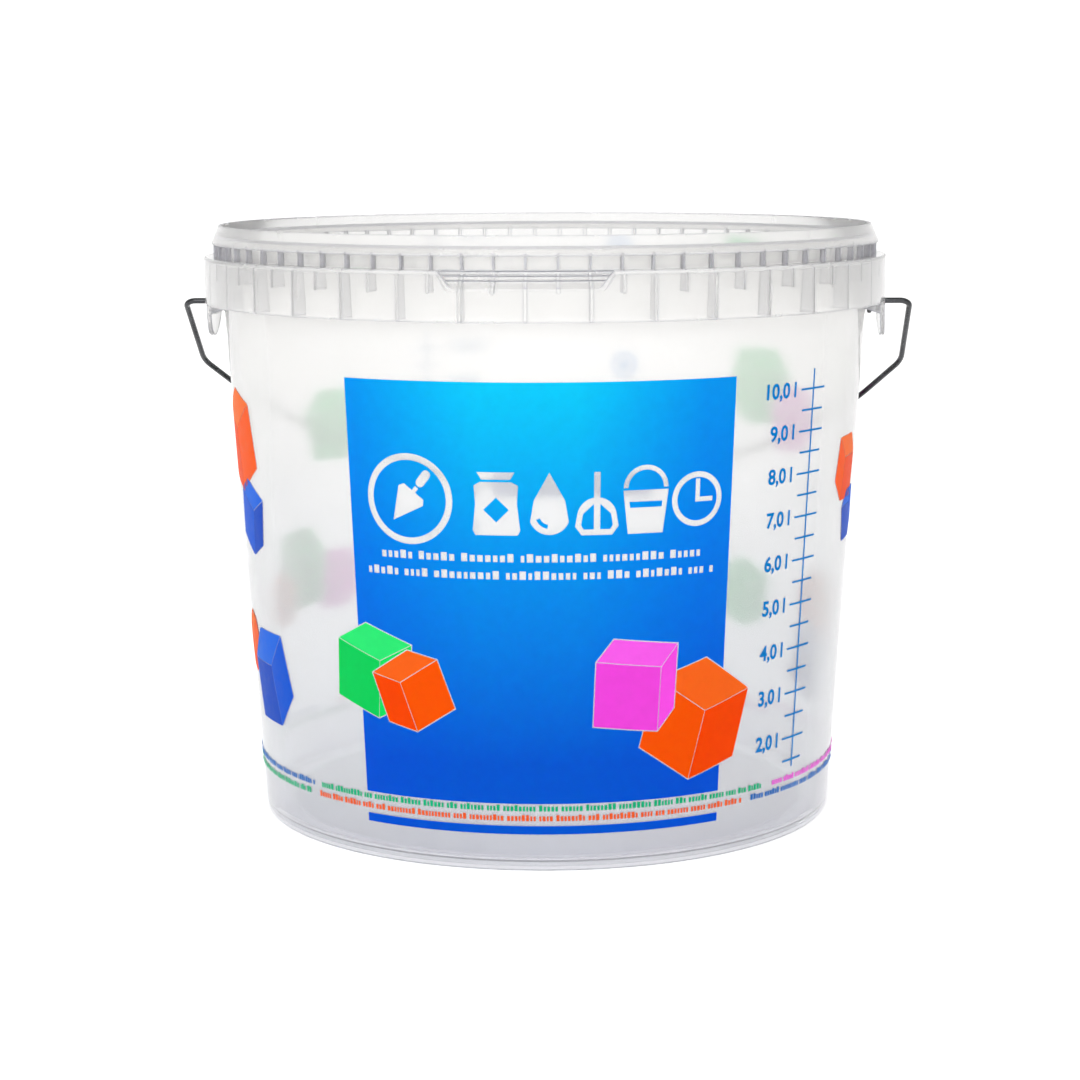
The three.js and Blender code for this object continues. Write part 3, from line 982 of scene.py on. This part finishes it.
class Nodes:
    """A new material with a Principled shader, and short ways to add nodes to it."""

    def __init__(self, name):
        self.material = bpy.data.materials.new(name)
        self.material.use_nodes = True
        self.tree = self.material.node_tree
        self.shader = self.tree.nodes["Principled BSDF"]

    def add(self, kind, **inputs):
        node = self.tree.nodes.new(kind)
        for key, value in inputs.items():
            self.feed(node, key, value)
        return node

    def feed(self, node, key, value):
        socket = node.inputs[key] if not isinstance(key, int) else node.inputs[key]
        if isinstance(value, bpy.types.NodeSocket):
            self.tree.links.new(value, socket)
        else:
            socket.default_value = value

    def position(self):
        return self.add("ShaderNodeTexCoord").outputs["Object"]

    def math(self, operation, a, b=0.0, c=0.0):
        node = self.tree.nodes.new("ShaderNodeMath")
        node.operation = operation
        for i, value in enumerate((a, b, c)):
            self.feed(node, i, value)
        return node.outputs[0]

    def noise(self, scale, detail=3.0, rough=0.5, vector=None):
        node = self.add("ShaderNodeTexNoise", Scale=scale, Detail=detail, Roughness=rough)
        self.tree.links.new(vector or self.position(), node.inputs["Vector"])
        return node.outputs["Fac"]

    def stretch(self, x, y, z):
        node = self.add("ShaderNodeMapping", Scale=(x, y, z))
        self.tree.links.new(self.position(), node.inputs["Vector"])
        return node.outputs["Vector"]

    def between(self, value, low, high, to_low, to_high):
        node = self.add("ShaderNodeMapRange")
        for key, item in zip(
            ("Value", "From Min", "From Max", "To Min", "To Max"), (value, low, high, to_low, to_high)
        ):
            self.feed(node, key, item)
        return node.outputs["Result"]

    def mix(self, share, a, b):
        node = self.tree.nodes.new("ShaderNodeMix")
        node.data_type = "RGBA"
        self.feed(node, 0, share)
        for i, value in ((6, a), (7, b)):
            self.feed(node, i, (*value, 1) if isinstance(value, tuple) and len(value) == 3 else value)
        return node.outputs[2]

    def bump(self, height, strength, distance, normal=None):
        node = self.add("ShaderNodeBump", Height=height, Strength=strength, Distance=distance)
        if normal is not None:
            self.feed(node, "Normal", normal)
        self.tree.links.new(node.outputs["Normal"], self.shader.inputs["Normal"])
        return node.outputs["Normal"]

    def edge_mask(self, reach):
        """1 along convex corners, 0 on flats: how soon a ray sent into the solid comes out again."""
        inner = self.tree.nodes.new("ShaderNodeAmbientOcclusion")
        inner.samples = 4
        inner.inside = True
        inner.only_local = True
        inner.inputs["Distance"].default_value = reach
        return self.between(inner.outputs["AO"], 0.92, 0.5, 0.0, 1.0)

    def set(self, **inputs):
        for key, value in inputs.items():
            self.feed(self.shader, key.replace("_", " "), value)
        return self.material


def milky_plastic():
    """Natural polypropylene: clear enough to show the far wall, softly clouded, with painted shade in its colour:
    greyer towards the foot, darker still on the foot ring and along convex edges.
    """
    n = Nodes("milky_plastic")
    cloud = n.between(n.noise(14.0, 4.0, 0.55), 0.3, 0.7, 0.0, 1.0)
    flow = n.noise(60.0, 3.0, 0.5, n.stretch(1, 1, 0.12))
    split = n.add("ShaderNodeSeparateXYZ", Vector=n.position()).outputs
    height = split["Z"]
    # painted shade: the wall's colour greys from the near-white upper to the grey lower, standing in for less light
    # towards the foot
    upper = n.mix(cloud, (0.975, 0.97, 0.96), (0.99, 0.985, 0.975))
    lower = n.mix(cloud, (0.86, 0.875, 0.9), (0.885, 0.895, 0.915))
    colour = n.mix(n.between(height, 0.03, 0.2, 0.0, 1.0), lower, upper)
    # painted shade: below 30 mm the foot ring, outside the floor plate, is darkened further towards a cool grey
    off_axis = n.math("SQRT", n.math("ADD", n.math("POWER", split["X"], 2.0), n.math("POWER", split["Y"], 2.0)))
    foot = n.math("MULTIPLY", n.between(height, 0.0, 0.03, 1.0, 0.0), n.between(off_axis, 0.112, 0.119, 0.0, 1.0))
    colour = n.mix(foot, colour, (0.72, 0.72, 0.77))
    # painted shade: convex edges are darkened, standing in for the dark lines where light refracts away from them;
    # the same mask also roughens them
    edge = n.edge_mask(0.0012)
    colour = n.mix(edge, colour, (0.5, 0.5, 0.56))
    rough = n.math("ADD", n.between(flow, 0.3, 0.7, 0.085, 0.12), n.math("MULTIPLY", edge, 0.4))
    fine = n.noise(900.0, 2.0, 0.6)
    n.bump(fine, 0.03, 0.0002)
    n.set(Base_Color=colour, Roughness=rough, IOR=1.4, Transmission_Weight=0.75)
    return n.material


def ink(name, colour, clear=0.0):
    """Screen ink on one colour, slightly uneven; light from behind shines through it a little."""
    n = Nodes(name)
    return finish_ink(n, (*srgb(*colour), 1), clear)


def finish_ink(n, base, clear=0.0):
    mottle = n.noise(220.0, 4.0, 0.6)
    shade = n.add("ShaderNodeHueSaturation", Color=base, Value=n.between(mottle, 0.3, 0.7, 0.97, 1.03))
    n.bump(n.noise(1500.0, 2.0, 0.5), 0.05, 0.0001)
    n.set(
        Base_Color=shade.outputs["Color"],
        Roughness=n.between(mottle, 0.3, 0.7, 0.42, 0.52),
        IOR=1.3,
        Specular_IOR_Level=0.1,
        Subsurface_Weight=1.0,
        Subsurface_Radius=(1.0, 1.0, 1.0),
        Subsurface_Scale=0.0002,
        Transmission_Weight=clear,
    )
    return n.material


def panel_ink():
    """The panel's blue ink, with painted light and shade in it: cyan where it is lit at the top middle, deep blue at
    the foot and towards the sides.
    """
    n = Nodes("ink_panel")
    split = n.add("ShaderNodeSeparateXYZ", Vector=n.position())
    height, side = split.outputs["Z"], n.math("ABSOLUTE", split.outputs["X"])

    def fade(low, middle, high):
        lower = n.mix(n.between(height, 0.045, 0.13, 0.0, 1.0), srgb(*low), srgb(*middle))
        return n.mix(n.between(height, 0.13, 0.2, 0.0, 1.0), lower, srgb(*high))

    # painted light: the middle is lit towards cyan at the top, while the sides stay a darker, shaded blue
    centre = fade((0, 78, 190), (0, 132, 216), (2, 180, 230))
    edge = fade((0, 72, 192), (0, 108, 212), (0, 134, 218))
    return finish_ink(n, n.mix(n.between(side, 0.02, 0.07, 0.0, 1.0), centre, edge))


def drawn_steel():
    n = Nodes("drawn_steel")
    scratch = n.noise(700.0, 4.0, 0.6, n.stretch(0.15, 1, 1))
    patch = n.noise(90.0, 4.0, 0.6)
    colour = n.mix(n.between(patch, 0.35, 0.7, 0.0, 1.0), (0.085, 0.088, 0.092), (0.045, 0.045, 0.048))
    n.bump(scratch, 0.12, 0.0002)
    n.set(Base_Color=colour, Metallic=1.0, Roughness=n.between(scratch, 0.3, 0.7, 0.2, 0.32))
    return n.material


def grip_plastic():
    n = Nodes("grip_plastic")
    grain = n.noise(1400.0, 3.0, 0.6)
    cloud = n.noise(60.0, 3.0, 0.5)
    colour = n.mix(n.between(cloud, 0.3, 0.7, 0.0, 1.0), srgb(24, 84, 176), srgb(34, 98, 190))
    n.bump(grain, 0.25, 0.0002)
    n.set(Base_Color=colour, Roughness=n.between(grain, 0.3, 0.7, 0.42, 0.58), IOR=1.49)
    return n.material


# ---------------------------------------------------------------- the object

TUB_NODES = ("foot_ring", "floor_plate", "tub_wall", "collar", "rim", "ear_left", "ear_right")


def finish_piece(obj, body, material):
    obj.data.materials.clear()
    obj.data.materials.append(material)
    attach(obj, body)
    return obj


tub = finish_piece(make_tub(), "tub", milky_plastic())
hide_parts(*TUB_NODES)
wire = finish_piece(make_wire(), "bail", drawn_steel())
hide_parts("bail_wire")
grip = finish_piece(make_grip(), "grip_tube", grip_plastic())
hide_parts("grip")

INKS = {
    ("green", 0): (38, 213, 106),
    ("green", 1): (10, 199, 85),
    ("green", 2): (8, 186, 80),
    ("orange", 0): (255, 92, 20),
    ("orange", 1): (255, 75, 0),
    ("orange", 2): (240, 62, 0),
    ("magenta", 0): (240, 84, 214),
    ("magenta", 1): (241, 70, 209),
    ("magenta", 2): (225, 62, 200),
    ("blue", 0): (8, 88, 204),
    ("blue", 1): (2, 74, 188),
    ("blue", 2): (0, 62, 168),
}
ROW_INKS = {
    "green": (20, 160, 110),
    "orange": (225, 84, 36),
    "magenta": (222, 80, 196),
    "blue": (10, 92, 170),
}
block_objects, block_outlines = make_blocks()
for (colour, shade), obj in block_objects.items():
    tone, clear = INKS[(colour.removesuffix(BACK), shade)], 0.0
    # painted light: far-side inks are lightened a quarter of the way to white, standing in for light shining through
    # them from behind
    if colour.endswith(BACK):
        tone, clear = tuple(c + 0.25 * (255 - c) for c in tone), 0.75
    finish_piece(obj, "tub", ink(f"ink_{colour}_{shade}", tone, clear))
finish_piece(make_panel(block_outlines), "tub", panel_ink())
finish_piece(make_roundel(), "tub", ink("ink_roundel", (60, 150, 220), 0.85))
scale_ink = ink("ink_scale", (0, 110, 178))
for name, azimuth in (("print_scale_front", 55.6), ("print_scale_back", -152.0)):
    finish_piece(make_scale(name, azimuth), "tub", scale_ink)
for colour, obj in make_foot_rows().items():
    finish_piece(obj, "tub", ink(f"ink_rows_{colour}", ROW_INKS[colour]))


# ---------------------------------------------------------------- stage, light and camera


def area_light(name, place, target, size, power, colour=(1, 1, 1)):
    data = bpy.data.lights.new(name, "AREA")
    data.shape = "RECTANGLE"
    data.size, data.size_y = size
    data.energy = power
    data.color = colour
    made = bpy.data.objects.new(name, data)
    bpy.context.scene.collection.objects.link(made)
    made.location = place
    made.rotation_euler = (Vector(target) - Vector(place)).to_track_quat("-Z", "Y").to_euler()
    return made


WORLD_WHITE = 1.14  # behind the object, near the horizon
WORLD_FRONT = 0.8  # share of it that the world in front keeps
WORLD_SIDES = 0.57
WORLD_CEILING = 1.1  # share of it that the ceiling keeps
FLOOR_GLOW = 0.45


def make_stage():
    bm = bmesh.new()
    bmesh.ops.create_circle(bm, cap_ends=True, radius=12000, segments=96)
    floor = object_of("floor", bm)
    n = Nodes("floor_paint")
    grain = n.noise(30.0, 3.0, 0.5)
    colour = n.mix(n.between(grain, 0.3, 0.7, 0.0, 1.0), (0.93, 0.93, 0.93), (0.95, 0.95, 0.95))
    n.set(Base_Color=colour, Roughness=0.9, Emission_Color=(1, 1, 1, 1), Emission_Strength=FLOOR_GLOW)
    floor.data.materials.append(n.material)
    world = bpy.data.worlds.new("studio")
    world.use_nodes = True
    tree = world.node_tree
    background = tree.nodes["Background"]
    background.inputs["Color"].default_value = (1, 1, 1, 1)
    direction = tree.nodes.new("ShaderNodeTexCoord")
    split = tree.nodes.new("ShaderNodeSeparateXYZ")
    tree.links.new(direction.outputs["Generated"], split.inputs[0])

    def fade(value, low, high, to_low, to_high):
        node = tree.nodes.new("ShaderNodeMapRange")
        node.interpolation_type = "SMOOTHSTEP"
        for key, number in (("From Min", low), ("From Max", high), ("To Min", to_low), ("To Max", to_high)):
            node.inputs[key].default_value = number
        tree.links.new(value, node.inputs["Value"])
        return node.outputs["Result"]

    def calculate(operation, *values):
        node = tree.nodes.new("ShaderNodeMath")
        node.operation = operation
        for socket, value in zip(node.inputs, values):
            tree.links.new(value, socket)
        return node.outputs[0]

    ahead = calculate("ABSOLUTE", split.outputs["Y"])
    around_horizon = fade(ahead, 0.25, 0.85, WORLD_SIDES, WORLD_WHITE)
    front_to_back = fade(split.outputs["Y"], -0.6, 0.6, WORLD_FRONT, 1.0)
    upward = fade(split.outputs["Z"], 0.2, 0.65, 1.0, WORLD_CEILING)
    strength = calculate("MULTIPLY", calculate("MULTIPLY", around_horizon, front_to_back), upward)
    tree.links.new(strength, background.inputs["Strength"])
    bpy.context.scene.world = world


def make_camera():
    data = bpy.data.cameras.new("camera")
    made = bpy.data.objects.new("camera", data)
    bpy.context.scene.collection.objects.link(made)
    data.lens = 86.49
    data.sensor_width = 36
    data.shift_x = -0.00565
    azimuth = math.radians(3)
    distance, height, pitch = 1.13976, 0.29574, 0.15666
    made.location = (distance * math.sin(azimuth), -distance * math.cos(azimuth), height)
    level = Vector((-math.sin(azimuth), math.cos(azimuth), -math.tan(pitch)))
    made.rotation_mode = "QUATERNION"
    roll = Matrix.Rotation(-0.0041, 4, "Z").to_quaternion()
    made.rotation_quaternion = level.to_track_quat("-Z", "Y") @ roll
    data.clip_start, data.clip_end = 0.05, 60
    bpy.context.scene.camera = made


make_stage()
make_camera()
area_light("key", (-0.35, -1.6, 1.0), (0, 0, 0.13), (1.2, 1.0), 12.5)
area_light("fill", (0.9, -1.3, 0.9), (0, 0, 0.13), (1.0, 1.2), 2.0)
bpy.context.scene.view_settings.view_transform = "Standard"
bpy.context.scene.view_settings.look = "None"
